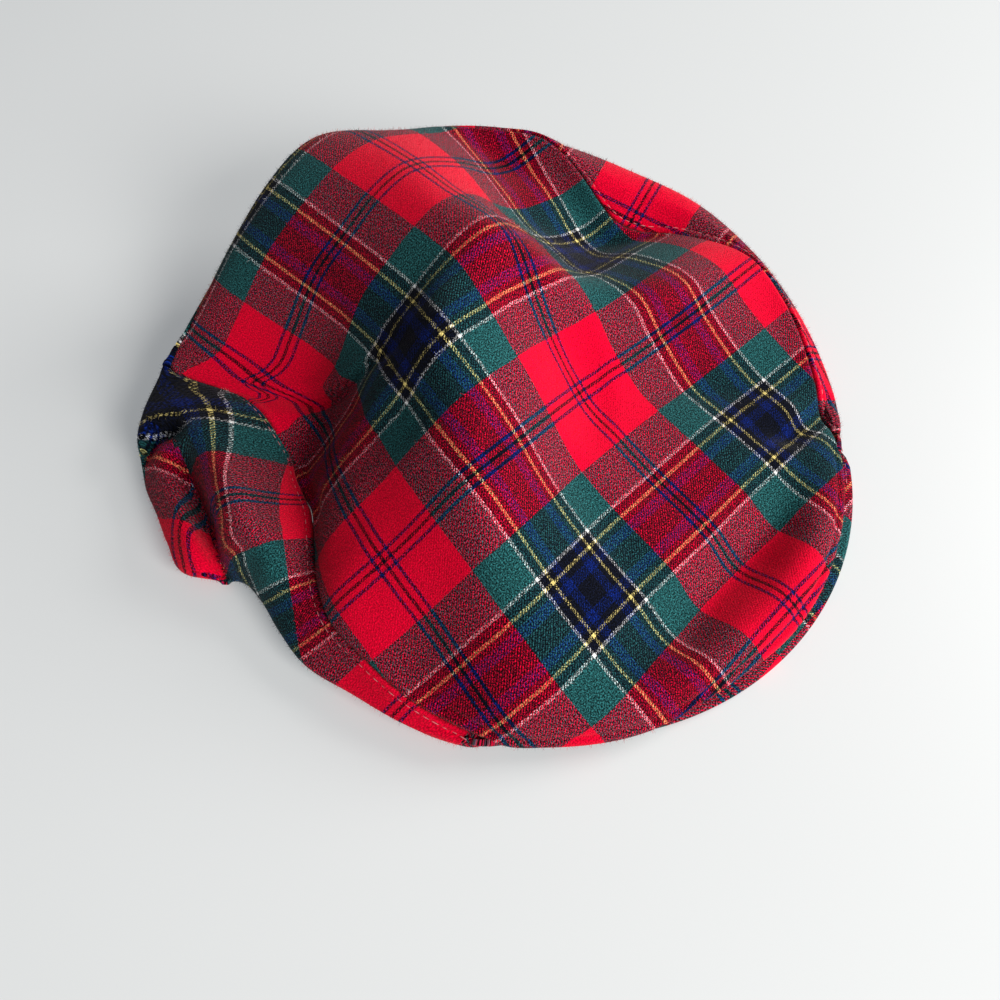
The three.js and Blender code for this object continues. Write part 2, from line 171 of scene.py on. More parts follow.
def crownSurface(bearings, rows):
    # points on the outside of the cap; rows run from 0 at the middle over 4 at the seam and 6 at the widest point
    # to 9 at the head opening
    bearings, rows = np.asarray(bearings, float), np.asarray(rows, float)
    seamR, wideR = (smoothThrough(column("bearing"), column(n), bearings, 360) for n in ("seamR", "wideR"))
    heights = {n: smoothThrough(column("bearing"), column(n), bearings, 360)
               for n in ("inner", "mid", "shoulder", "seamZ", "crest", "wideZ")}
    rimR, rest = openingRadius(bearings), restHeight(bearings)
    east, north = np.sin(np.radians(bearings)), -np.cos(np.radians(bearings))
    lean = crownMiddle["slopeX"] * east + crownMiddle["slopeY"] * north
    flat = np.zeros_like(bearings)
    stopsR = [flat - ring["innerR"], flat, flat + ring["innerR"], (ring["innerR"] + seamR * ring["shoulderShare"]) / 2,
              seamR * ring["shoulderShare"], seamR, (seamR + wideR) / 2, wideR, wideR - tuck["in"],
              wideR + (rimR - wideR) * under["share"], rimR]
    stopsZ = [heights["inner"] - 2 * lean * ring["innerR"], flat + crownMiddle["height"], heights["inner"],
              heights["mid"], heights["shoulder"], heights["seamZ"], heights["crest"], heights["wideZ"],
              rest + tuck["height"], rest + under["height"], rest]
    at = np.arange(len(stopsR)) - 1.0
    stopsR, stopsZ = np.array(stopsR), np.array(stopsZ)
    r = np.empty((len(bearings), len(rows)))
    z = np.empty_like(r)
    for i in range(len(bearings)):
        r[i] = smoothThrough(at, stopsR[:, i], rows)
        z[i] = smoothThrough(at, stopsZ[:, i], rows)
    x, y = r * east[:, None], r * north[:, None]
    middle = (crownMiddle["height"] + crownMiddle["slopeX"] * x + crownMiddle["slopeY"] * y
              + crownMiddle["bendX"] * x * x + crownMiddle["twist"] * x * y + crownMiddle["bendY"] * y * y)
    z += (middle - z) * (1 - blend(r, crownMiddle["from"], crownMiddle["to"]))
    upper = (1 - blend(rows, *foldRows))[None, :]
    for left, right, line in folds:
        nearest = np.full(x.shape, np.inf)
        change = np.zeros(x.shape)
        for (fromX, fromY, fromRise), (toX, toY, toRise) in zip(line[:-1], line[1:]):
            runX, runY = toX - fromX, toY - fromY
            run = np.clip(((x - fromX) * runX + (y - fromY) * runY) / (runX**2 + runY**2), 0, 1)
            off = np.hypot(x - fromX - run * runX, y - fromY - run * runY)
            side = (runX * (y - fromY) - runY * (x - fromX)) / math.hypot(runX, runY) / np.maximum(off, 0.001)
            wide = (left + right) / 2 + (left - right) / 2 * np.clip(side, -1, 1)
            rise = (fromRise + (toRise - fromRise) * run) * np.exp(-(off / wide) ** 2)
            change = np.where(off < nearest, rise, change)
            nearest = np.minimum(nearest, off)
        z += upper * change
    room = np.clip(heights["seamZ"] - rest - seamClear, 1, leastFold)[:, None]
    lowest = rest[:, None] + room * upper * blend(rows, *liftRows)[None, :]
    return np.stack([x, y, np.maximum(z, lowest)], axis=-1)


def gridNormals(points, closed):
    # outward directions of a grid of points, along bearings and rows
    if closed:
        around = np.roll(points, -1, 0) - np.roll(points, 1, 0)
    else:
        around = np.gradient(points, axis=0)
    down = np.gradient(points, axis=1)
    n = np.cross(down, around)
    length = np.linalg.norm(n, axis=-1, keepdims=True)
    n = np.where(length > 1e-9, n / np.maximum(length, 1e-9), 0)
    if closed:
        n[:, 0] = n[:, 1].mean(0) / np.linalg.norm(n[:, 1].mean(0))
    return n


def layFlat(points, closed, rounds=1500, give=0.9):
    # flat coordinates of a piece of cloth: its grid is opened out and relaxed until its threads keep their length
    along = np.linalg.norm(np.diff(points, axis=1), axis=-1)
    reach = np.concatenate([np.zeros((len(points), 1)), np.cumsum(along, axis=1)], axis=1)
    if closed:
        turn = np.arctan2(points[:, -1, 0], -points[:, -1, 1])
        flat = np.stack([reach * np.sin(turn)[:, None], -reach * np.cos(turn)[:, None]], axis=-1)
    else:
        middle = points.shape[1] // 2
        steps = np.linalg.norm(np.diff(points[:, middle], axis=0), axis=-1)
        run = np.concatenate([[0], np.cumsum(steps)])
        flat = np.stack([np.repeat(run[:, None], points.shape[1], 1), reach[:, middle:middle + 1] - reach], axis=-1)
    nb, nr = flat.shape[:2]
    index = np.arange(nb * nr).reshape(nb, nr)
    if closed:
        index[:, 0] = 0
    wrap = np.concatenate([index, index[:1]]) if closed else index
    pairs = [(wrap[:-1], wrap[1:]), (wrap[:, :-1], wrap[:, 1:]), (wrap[:-1, :-1], wrap[1:, 1:]),
             (wrap[1:, :-1], wrap[:-1, 1:])]
    a = np.concatenate([p.ravel() for p, q in pairs])
    b = np.concatenate([q.ravel() for p, q in pairs])
    keep = a != b
    a, b = a[keep], b[keep]
    solid = points.reshape(-1, 3)
    length = np.linalg.norm(solid[a] - solid[b], axis=1)
    place = flat.reshape(-1, 2).copy()
    weight = 1 / np.maximum(length, 1.0)
    share = np.bincount(a, weight, len(place)) + np.bincount(b, weight, len(place))
    share[share == 0] = 1
    for _ in range(rounds):
        d = place[b] - place[a]
        now = np.maximum(np.linalg.norm(d, axis=1), 1e-6)
        pull = d * ((now - length) / now * weight)[:, None] * give
        for axis in (0, 1):
            moved = np.bincount(a, pull[:, axis], len(place)) - np.bincount(b, pull[:, axis], len(place))
            place[:, axis] += moved / share
    place = place.reshape(nb, nr, 2)
    if closed:
        place[:, 0] = place[0, 0]
    return place


# Lay of the cloth: millimetres across and along the weave, from the middle of a dark band. The numbers are for the
# start of the flat panel, for each 100 mm along it, for each 100 mm up it, and for how the lay bends over its length.
# back is the lay of the right panel beside the back seam, and lobe that of its turned fold.
tartanRepeat = 114.0
clothLay = {
    "top": {"across": (27.9, 102.3, 9.6, 0, 0, 0), "along": (31.4, 10.4, -99.6, 0, 0, 0)},
    "left": {"across": (244.4, -100.4, -59.1, -4.7, 27.4, 0), "along": (76.2, -43.4, 28.6, 3.7, 32.1, 0)},
    "right": {"across": (259.0, -444.1, 70.9, 223.8, 0, -33.4), "along": (14.0, -85.6, -36.7, 78.2, 0, -10.4)},
    "back": {"across": (10.8, -18.9, 98.2, 0, 0, 0), "along": (-118.5, 98.2, 18.9, 0, 0, 0)},
    "lobe": {"across": (70.3, -58.9, 79.4, 0, 0, 0), "along": (-66.2, 64.9, 65.3, 0, 0, 0)},
}
# The lobe under the arch crease is a turned fold: inside this outline its cloth lies a quarter turn round.
lobeOutline = [(-165, 58), (-136, 68), (-126, 75), (-117, 77), (-112, 70), (-112.5, 61), (-114, 57), (-116, 45),
               (-119, 27), (-125, 4), (-133, -12), (-165, -20)]


def placed(points):
    # from millimetres round the crown's middle to metres in the frame
    return (points + np.array([*crownPlace, 0])) / 1000


def newObject(name, data):
    piece = bpy.data.objects.new(name, data)
    bpy.context.scene.collection.objects.link(piece)
    return piece


def cornersOf(mesh):
    corner = np.empty(len(mesh.loops), int)
    mesh.loops.foreach_get("vertex_index", corner)
    return corner


def smoothFaces(mesh):
    mesh.polygons.foreach_set("use_smooth", np.ones(len(mesh.polygons), bool))


def clothOn(bearings, rows, closed, lay, coarse):
    # the cloth's own coordinates at each place, in repeats of the tartan
    coarseBearings, coarseRows = coarse
    flat = layFlat(crownSurface(coarseBearings, coarseRows), closed)
    part = np.empty((len(coarseBearings), len(rows), 2))
    for i in range(len(coarseBearings)):
        for axis in (0, 1):
            part[i, :, axis] = smoothThrough(coarseRows, flat[i, :, axis], rows)
    whole = np.empty((len(bearings), len(rows), 2))
    for j in range(len(rows)):
        for axis in (0, 1):
            whole[:, j, axis] = smoothThrough(coarseBearings, part[:, j, axis], bearings, 360 if closed else None)
    right, up = whole[..., 0] / 100, whole[..., 1] / 100
    terms = np.stack([np.ones_like(right), right, up, right**2, right * up, right**3], axis=-1)
    return np.stack([terms @ np.array(lay[way]) for way in ("across", "along")], axis=-1) / tartanRepeat


def arcFrom(points, end):
    # distance of each grid point from the first or last row, along the surface
    steps = np.linalg.norm(np.diff(points, axis=1), axis=-1)
    run = np.concatenate([np.zeros((len(points), 1)), np.cumsum(steps, axis=1)], axis=1)
    return run if end == "first" else run[:, -1:] - run


def rolled(distance, radius):
    # how far a rounded edge has dropped at this distance from it
    inside = np.clip(radius - distance, 0, radius)
    return radius - np.sqrt(np.maximum(radius**2 - inside**2, 0))


def within(outline, x, y):
    inside = np.zeros(len(x), bool)
    for (ax, ay), (bx, by) in zip(outline, outline[1:] + outline[:1]):
        if ay != by:
            inside ^= ((ay > y) != (by > y)) & (x < (bx - ax) * (y - ay) / (by - ay) + ax)
    return inside


# The nap stands on every second line of a panel's grid, down to the lowest row. The counts are fibres for each square
# millimetre, and shortest and longest are shares of the length.
napValues = {"every": 2, "lowestRow": 6.4, "topCount": 0.75, "sideCount": 1.1, "length": 2.0, "radius": 0.06,
             "lean": 1.3, "shortest": 0.35, "longest": 1.0, "seed": 11, "roughness": 0.8, "specular": 0.2}
napBases = {}


def keepNapBase(name, outer, rows, cloth, closed, turned):
    # the part of a panel that carries the nap, as a plain grid with the cloth's coordinates
    every, upper = napValues["every"], rows < napValues["lowestRow"]

    def thinned(grid):
        return grid[::every, upper][:, ::every]

    outer, cloth = thinned(outer), thinned(cloth)
    if turned:
        other = thinned(turned[0])
        inside = within(turned[1], outer[..., 0].ravel(), outer[..., 1].ravel()).reshape(outer.shape[:2])
        cloth = np.where(inside[..., None], other, cloth)
    nb, nr = outer.shape[:2]
    index = np.arange(nb * nr).reshape(nb, nr)
    around = np.concatenate([index, index[:1]]) if closed else index
    first = 1 if closed else 0
    faces = np.stack([around[:-1, first:-1], around[:-1, first + 1:], around[1:, first + 1:], around[1:, first:-1]], -1)
    mesh = bpy.data.meshes.new(name + "NapBase")
    mesh.from_pydata(placed(outer.reshape(-1, 3)).tolist(), [], faces.reshape(-1, 4).tolist())
    places = mesh.attributes.new("napCloth", "FLOAT_VECTOR", "POINT")
    places.data.foreach_set("vector", np.concatenate([cloth.reshape(-1, 2), np.zeros((nb * nr, 1))], 1).ravel())
    napBases[name] = mesh


def clothObject(name, outer, inner, cloth, closed, turned=None):
    # a closed wall from two grids of points, with the cloth's coordinates as its UV map; turned gives the other
    # coordinates inside an outline
    nb, nr = outer.shape[:2]
    base = np.arange(nb * nr).reshape(nb, nr)
    around = np.concatenate([base, base[:1]]) if closed else base
    first = 1 if closed else 0
    a, b, c, d = around[:-1, first:-1], around[:-1, first + 1:], around[1:, first + 1:], around[1:, first:-1]
    outside = np.stack([a, b, c, d], -1).reshape(-1, 4)
    inside = np.stack([a, d, c, b], -1).reshape(-1, 4) + nb * nr
    faces = [outside, inside]
    rim = np.stack([around[:-1, -1], around[:-1, -1] + nb * nr, around[1:, -1] + nb * nr, around[1:, -1]], -1)
    faces.append(rim)
    if not closed:
        faces.append(np.stack([around[:-1, 0], around[1:, 0], around[1:, 0] + nb * nr, around[:-1, 0] + nb * nr], -1))
        faces.append(np.stack([base[0, :-1], base[0, :-1] + nb * nr, base[0, 1:] + nb * nr, base[0, 1:]], -1))
        faces.append(np.stack([base[-1, :-1], base[-1, 1:], base[-1, 1:] + nb * nr, base[-1, :-1] + nb * nr], -1))
    quads = np.concatenate(faces)
    points = placed(np.concatenate([outer.reshape(-1, 3), inner.reshape(-1, 3)]))
    uv = np.concatenate([cloth.reshape(-1, 2), cloth.reshape(-1, 2)])
    used = [list(q) for q in quads]
    if closed:                         # the middle is one point, with a fan round it
        for side in (0, 1):
            hub = side * nb * nr
            for i in range(nb):
                p, q = around[i, 1] + hub, around[i + 1, 1] + hub
                used.append([hub, p, q] if side == 0 else [hub, q, p])
    mesh = bpy.data.meshes.new(name)
    mesh.from_pydata(points.tolist(), [], used)
    layer = mesh.uv_layers.new(name="cloth")
    corner = cornersOf(mesh)
    places = uv[corner]
    if turned:
        otherCloth, outline = turned
        centre, sides = np.empty(len(mesh.polygons) * 3), np.empty(len(mesh.polygons), int)
        mesh.polygons.foreach_get("center", centre)
        mesh.polygons.foreach_get("loop_total", sides)
        at = centre.reshape(-1, 3) * 1000 - np.array([*crownPlace, 0])
        inside = np.repeat(within(outline, at[:, 0], at[:, 1]), sides)
        places[inside] = np.concatenate([otherCloth.reshape(-1, 2)] * 2)[corner[inside]]
    layer.data.foreach_set("uv", places.ravel())
    smoothFaces(mesh)
    piece = newObject(name, mesh)
    if closed:
        cleaner = bmesh.new()
        cleaner.from_mesh(mesh)
        loose = [v for v in cleaner.verts if not v.link_faces]
        bmesh.ops.delete(cleaner, geom=loose, context="VERTS")
        cleaner.to_mesh(mesh)
        cleaner.free()
    return piece


# The top panel: one round piece, its edge rolled over at the seam and at the lip in front, where a groove sets off a
# line of piping.
topPanelValues = {"bearings": 360, "rows": 74, "seamFrom": 3.86, "seamRows": 14, "edgeRoll": 2.2, "pipingAt": 4.6,
                  "pipingWidth": 0.9, "pipingDepth": 0.9, "pipingFrom": 0.55, "pipingFull": 0.75, "flatStep": 5.0,
                  "flatRows": 17}


def makeTopPanel():
    v = topPanelValues
    bearings = np.arange(v["bearings"]) * 360 / v["bearings"]
    rows = np.concatenate([np.linspace(0, v["seamFrom"], v["rows"]),
                           np.linspace(v["seamFrom"], seamRow, v["seamRows"] + 1)[1:]])
    surface = crownSurface(bearings, rows)
    normal = gridNormals(surface, True)
    fromEdge = arcFrom(surface, "last")
    drop = rolled(fromEdge, v["edgeRoll"])[..., None]
    front = blend(np.cos(np.radians(bearings)), v["pipingFrom"], v["pipingFull"])[:, None]
    drop += (v["pipingDepth"] * front * np.exp(-((fromEdge - v["pipingAt"]) / v["pipingWidth"]) ** 2))[..., None]
    outer = surface - normal * drop
    inner = surface - normal * np.maximum(clothThickness, drop + leastWall)
    coarse = (np.arange(0, 360, v["flatStep"]), np.linspace(0, seamRow, v["flatRows"]))
    cloth = clothOn(bearings, rows, True, clothLay["top"], coarse)
    keepNapBase("topPanel", outer, rows, cloth, True, None)
    return clothObject("topPanel", outer, inner, cloth, True)


# The side panels: each runs from the seam over the widest point to the head opening. The stitches lie in the dimple
# beside the seam. Steps, spans, ends and lays are in degrees round the cap.
sidePanelValues = {
    "stepDegrees": 0.5, "edgeRows": 12, "edgeTo": 4.3, "upperRows": 64, "underRows": 14, "flatStep": 4, "flatRows": 17,
    "edgeRoll": 1.6, "edgeStart": 0.5, "dimpleAt": 2.4, "dimpleWidth": 0.8, "dimpleDepth": 0.35, "pinch": (0.3, 1),
    "endTuck": 5, "leftEnd": (44, 56), "rightEnd": (318, 326),
    "backSeam": 180, "backSteps": 21, "backSpan": 1, "backClear": 1.2, "backRoll": 1.1, "backShare": 0.8,
    "backTuck": 1.0, "backSlope": 0.3, "backLay": (208, 225),
}


def sideGrid(start, end):
    # bearings and rows of a side panel, with close steps beside the back seam
    v = sidePanelValues
    near = np.linspace(-v["backSpan"], v["backSpan"], v["backSteps"]) + v["backSeam"]
    plain = np.linspace(start, end, int(round((end - start) / v["stepDegrees"])) + 1)
    plain = plain[np.abs(plain - v["backSeam"]) > v["backClear"]]
    bearings = np.sort(np.concatenate([plain, near[(near >= start) & (near <= end)]]))
    rows = np.concatenate([np.linspace(seamRow, v["edgeTo"], v["edgeRows"]),
                           np.linspace(v["edgeTo"], tuckRow, v["upperRows"] - v["edgeRows"] + 1)[1:],
                           np.linspace(tuckRow, rimRow, v["underRows"] + 1)[1:]])
    return bearings, rows


def makeSidePanel(name, start, end, lay):
    v = sidePanelValues
    bearings, rows = sideGrid(start, end)
    surface = crownSurface(bearings, rows)
    # each front end slips in under the edge of the top panel
    slip = np.maximum(1 - blend(bearings, *v["leftEnd"]), blend(bearings, *v["rightEnd"]))
    slip = v["endTuck"] * slip[:, None] * (1 - blend(rows, wideRow, tuckRow))[None, :]
    surface[..., :2] *= (1 - slip / np.hypot(surface[..., 0], surface[..., 1]))[..., None]
    normal = gridNormals(surface, False)
    fromSeam = arcFrom(surface, "first")
    drop = rolled(fromSeam, v["edgeRoll"])[..., None]
    # the back edges roll in, and the left one goes on behind the right one
    fromBack = np.abs(np.radians(bearings - v["backSeam"])) * np.hypot(surface[:, 0, 0], surface[:, 0, 1])
    behind = 0
    if start < v["backSeam"]:
        behind = clothThickness * blend(bearings, v["backSeam"], v["backSeam"] + v["backSlope"])
    drop = np.maximum(drop, (rolled(fromBack, v["backRoll"]) * v["backShare"] + behind)[:, None, None])
    dimple = v["dimpleDepth"] * np.exp(-((fromSeam - v["dimpleAt"]) / v["dimpleWidth"]) ** 2)[..., None]
    pinch = 1 - blend(np.abs(rows - wideRow), *v["pinch"])
    thickness = (clothThickness - (clothThickness - creasedThickness) * pinch)[None, :, None]
    outer = surface - normal * (drop + dimple)
    outer[:, 0] += (surface[:, 1] - surface[:, 0]) * v["edgeStart"]
    inner = surface - normal * np.maximum(thickness, drop + leastWall)
    coarse = (np.linspace(start, end, int((end - start) / v["flatStep"]) + 1),
              np.linspace(seamRow, rimRow, v["flatRows"]))
    cloth = clothOn(bearings, rows, False, lay, coarse)
    turned = None
    if name == "sidePanelRight":
        side = blend(bearings, *v["backLay"])[:, None, None]
        cloth = side * cloth + (1 - side) * clothOn(bearings, rows, False, clothLay["back"], coarse)
        turned = (clothOn(bearings, rows, False, clothLay["lobe"], coarse), lobeOutline)
    keepNapBase(name, outer, rows, cloth, False, turned)
    return clothObject(name, outer, inner, cloth, False, turned)


# The peak: a flat crescent covered in the same cloth, with a round edge.
peakValues = {"edgeRadius": 1.9, "edgeSteps": 8, "edgePoints": 61, "cornerTurn": 12, "cornerSteps": 10,
              "clothTurn": 9.5, "clothAcross": -35.8, "clothAlong": 103.3}


def peakOutline():
    p, v = peakShape, peakValues

    def onArc(turn):
        return (p["centreX"] + p["radius"] * math.sin(math.radians(turn)),
                p["centreY"] - p["radius"] * math.cos(math.radians(turn)))

    def onOpening(bearing):
        r = float(openingRadius(np.array([bearing]))[0])
        return (r * math.sin(math.radians(bearing)), -r * math.cos(math.radians(bearing)))

    def corner(a, b, c):
        return [tuple((1 - t) ** 2 * a[k] + 2 * t * (1 - t) * b[k] + t * t * c[k] for k in (0, 1))
                for t in np.linspace(0, 1, v["cornerSteps"] + 1)]

    points = [onArc(t) for t in np.linspace(p["from"], p["to"], v["edgePoints"])]
    points += corner(points[-1], onArc(p["to"] + v["cornerTurn"]), onOpening(p["corner"]))[1:]
    points += [onOpening(b) for b in np.linspace(p["corner"], -p["corner"], v["edgePoints"])[1:]]
    points += corner(points[-1], onArc(p["from"] - v["cornerTurn"]), onArc(p["from"]))[1:-1]
    return np.array(points)


def makePeak():
    v = peakValues
    outline = peakOutline()
    ahead, behind = np.roll(outline, -1, 0), np.roll(outline, 1, 0)
    run = ahead - behind
    run /= np.linalg.norm(run, axis=1, keepdims=True)
    inward = np.stack([-run[:, 1], run[:, 0]], -1)
    half, radius = peakShape["thickness"] / 2, v["edgeRadius"]
    count = len(outline)
    loops = []
    for turn in np.linspace(-90, 90, 2 * v["edgeSteps"] + 1):
        rise = (half if abs(turn) == 90 else radius) * math.sin(math.radians(turn))
        loop = outline + inward * radius * (1 - math.cos(math.radians(turn)))
        loops.append(np.column_stack([loop, np.full(count, half + rise)]))
    points = placed(np.concatenate(loops))
    faces = []
    for k in range(len(loops) - 1):
        for i in range(count):
            j = (i + 1) % count
            faces.append((k * count + i, k * count + j, (k + 1) * count + j, (k + 1) * count + i))
    faces.append(tuple(range(count - 1, -1, -1)))
    faces.append(tuple((len(loops) - 1) * count + i for i in range(count)))
    mesh = bpy.data.meshes.new("peakCover")
    mesh.from_pydata(points.tolist(), [], faces)
    shell = bmesh.new()
    shell.from_mesh(mesh)
    bmesh.ops.triangulate(shell, faces=[f for f in shell.faces if len(f.verts) > 4])
    shell.to_mesh(mesh)
    shell.free()
    lay = math.radians(v["clothTurn"])
    flat = points[:, :2] * 1000 - np.array(crownPlace)
    across = (flat[:, 0] * math.cos(lay) + flat[:, 1] * math.sin(lay) + v["clothAcross"]) / tartanRepeat
    along = (-flat[:, 0] * math.sin(lay) + flat[:, 1] * math.cos(lay) + v["clothAlong"]) / tartanRepeat
    layer = mesh.uv_layers.new(name="cloth")
    layer.data.foreach_set("uv", np.stack([across, along], -1)[cornersOf(mesh)].ravel())
    smoothFaces(mesh)
    return newObject("peakCover", mesh)


# Yarns of the tartan, as they look before the gamma of the wool, and how many threads of each lie between the middle
# of the dark band and the middle of the red square.
yarns = {"red": (0.82, 0.008, 0.18), "green": (0.12, 0.27, 0.275), "blue": (0.04, 0.10, 0.29),
         "black": (0.05, 0.06, 0.10), "yellow": (0.84, 0.76, 0.46), "white": (0.84, 0.84, 0.84)}
halfSett = [("black", 13), ("blue", 12), ("black", 7), ("yellow", 4), ("black", 10), ("white", 4), ("green", 49),
            ("red", 60.5), ("blue", 4), ("red", 6), ("black", 2.5)]


class Nodes:
    # short hand for building a node tree
    def __init__(self, tree):
        self.tree = tree

    def add(self, kind, settings=None, **sockets):
        node = self.tree.nodes.new(kind)
        for name, value in (settings or {}).items():
            setattr(node, name, value)
        for name, value in sockets.items():
            self.set(node, name.replace("_", " "), value)
        return node

    def set(self, node, name, value):
        socket = node.inputs[int(name) if name.isdigit() else name]
        if isinstance(value, bpy.types.NodeSocket):
            self.tree.links.new(value, socket)
        else:
            socket.default_value = value

    def math(self, operation, a, b=None, c=None, clamp=False):
        node = self.tree.nodes.new("ShaderNodeMath")
        node.operation, node.use_clamp = operation, clamp
        for i, value in enumerate((a, b, c)):
            if value is not None:
                self.set(node, str(i), value)
        return node.outputs[0]

    def mix(self, kind, factor, a, b, operation="MIX"):
        node = self.tree.nodes.new("ShaderNodeMix")
        node.data_type = kind
        if kind == "RGBA":
            node.blend_type = operation
        ends = {"RGBA": (6, 7, 2), "FLOAT": (2, 3, 0)}[kind]
        self.set(node, "0", factor)
        self.set(node, str(ends[0]), a)
        self.set(node, str(ends[1]), b)
        return node.outputs[ends[2]]


def newGroup(name, inputs, outputs):
    group = bpy.data.node_groups.new(name, "ShaderNodeTree")
    for label, kind, value in inputs:
        socket = group.interface.new_socket(label, in_out="INPUT", socket_type=kind)
        if value is not None:
            socket.default_value = value
    for label, kind in outputs:
        group.interface.new_socket(label, in_out="OUTPUT", socket_type=kind)
    n = Nodes(group)
    return group, n, n.add("NodeGroupInput"), n.add("NodeGroupOutput")


def makeSettGroup():
    # colour of the thread at a distance across the cloth, in repeats
    group, n, source, sink = newGroup("tartanSett", [("Across", "NodeSocketFloat", 0.0)],
                                      [("Color", "NodeSocketColor")])
    folded = n.math("MULTIPLY", n.math("PINGPONG", source.outputs["Across"], 0.5), 2.0)
    ramp = n.add("ShaderNodeValToRGB")
    ramp.color_ramp.interpolation = "CONSTANT"
    total, at = sum(count for _, count in halfSett), 0
    for i, (yarn, count) in enumerate(halfSett):
        stop = ramp.color_ramp.elements[i] if i < 2 else ramp.color_ramp.elements.new(at / total)
        stop.position = at / total
        stop.color = (*yarns[yarn], 1)
        at += count
    n.set(ramp, "Fac", folded)
    n.set(sink, "Color", ramp.outputs["Color"])
    return group


# A two-and-two twill: its repeat in threads, how far the brushed yarns wander, and how strong the clumps are.
weaveValues = {"repeat": 4.0, "overTo": 1.5, "wander": 4.0, "clumpRoughness": 0.6, "heatherGain": 6.0,
               "speckleGain": 3.2, "waleHeight": 0.3}


def makeWeaveGroup():
    # which thread shows, how high the cloth stands, and its light and dark
    v = weaveValues
    group, n, source, sink = newGroup(
        "twillWeave",
        [("Cloth", "NodeSocketVector", None), ("Threads", "NodeSocketFloat", 344.0), ("Fuzz", "NodeSocketFloat", 0.8),
         ("Blend", "NodeSocketFloat", 0.4), ("Grain", "NodeSocketFloat", 150.0)],
        [("Warp", "NodeSocketFloat"), ("Over", "NodeSocketFloat"), ("Height", "NodeSocketFloat"),
         ("Speckle", "NodeSocketFloat")])
    cloth, grain = source.outputs["Cloth"], source.outputs["Grain"]
    parts = n.add("ShaderNodeSeparateXYZ", Vector=cloth)
    fuzz = n.add("ShaderNodeTexNoise", {"noise_dimensions": "2D"}, Vector=cloth, Scale=grain, Detail=2.0)
    tone = n.add("ShaderNodeSeparateColor", Color=fuzz.outputs["Color"])
    reach = n.math("MULTIPLY", source.outputs["Fuzz"], v["wander"])
    warpAt, weftAt = [n.math("ADD", n.math("MULTIPLY", parts.outputs[k], source.outputs["Threads"]),
                             n.math("MULTIPLY", n.math("SUBTRACT", tone.outputs[k], 0.5), reach)) for k in (0, 1)]
    step = n.math("ADD", n.math("FLOOR", warpAt), n.math("FLOOR", weftAt))
    over = n.math("LESS_THAN", n.math("FLOORED_MODULO", step, v["repeat"]), v["overTo"])
    clumps = n.add("ShaderNodeTexNoise", {"noise_dimensions": "2D"}, Vector=cloth, Scale=grain, Detail=2.0,
                   Roughness=v["clumpRoughness"])
    split = n.add("ShaderNodeSeparateColor", Color=clumps.outputs["Color"])
    heather, speckle = [n.math("MULTIPLY_ADD", n.math("SUBTRACT", split.outputs[k], 0.5), v[gain], 0.5, clamp=True)
                        for k, gain in ((0, "heatherGain"), (1, "speckleGain"))]
    wale = n.math("SINE", n.math("MULTIPLY", n.math("ADD", warpAt, weftAt), math.pi / 2))
    n.set(sink, "Warp", n.mix("FLOAT", source.outputs["Blend"], over, heather))
    n.set(sink, "Over", over)
    n.set(sink, "Height", n.math("ADD", n.math("MULTIPLY", wale, v["waleHeight"]), speckle))
    n.set(sink, "Speckle", speckle)
    return group


def newMaterial(name):
    material = bpy.data.materials.new(name)
    material.use_nodes = True
    return material, Nodes(material.node_tree), material.node_tree.nodes["Principled BSDF"]


# Wool: brushed twill. Where two yarns of unlike colour cross, the cloth is darker and more heathered. A yarn above
# the bright value shows as beads, veiled by the nap of the yarn it crosses.
woolValues = {"threads": 344.0, "fuzz": 0.35, "blend": 0.4, "grain": 200.0, "crossDark": 0.3, "calm": 0.14,
              "heather": 0.8, "fleck": 1.25, "bright": 0.5, "veil": 0.3, "gamma": 2.2, "bump": 0.4,
              "bumpDistance": 0.0004, "roughness": 0.95, "specular": 0.05, "sheen": 0.1, "sheenRoughness": 0.4}


def yarnsAt(n, groups, cloth):
    # colours of the warp and weft threads at a place on the cloth
    parts = n.add("ShaderNodeSeparateXYZ", Vector=cloth)
    return [n.add("ShaderNodeGroup", {"node_tree": groups["sett"]}, Across=parts.outputs[k]).outputs["Color"]
            for k in (0, 1)]


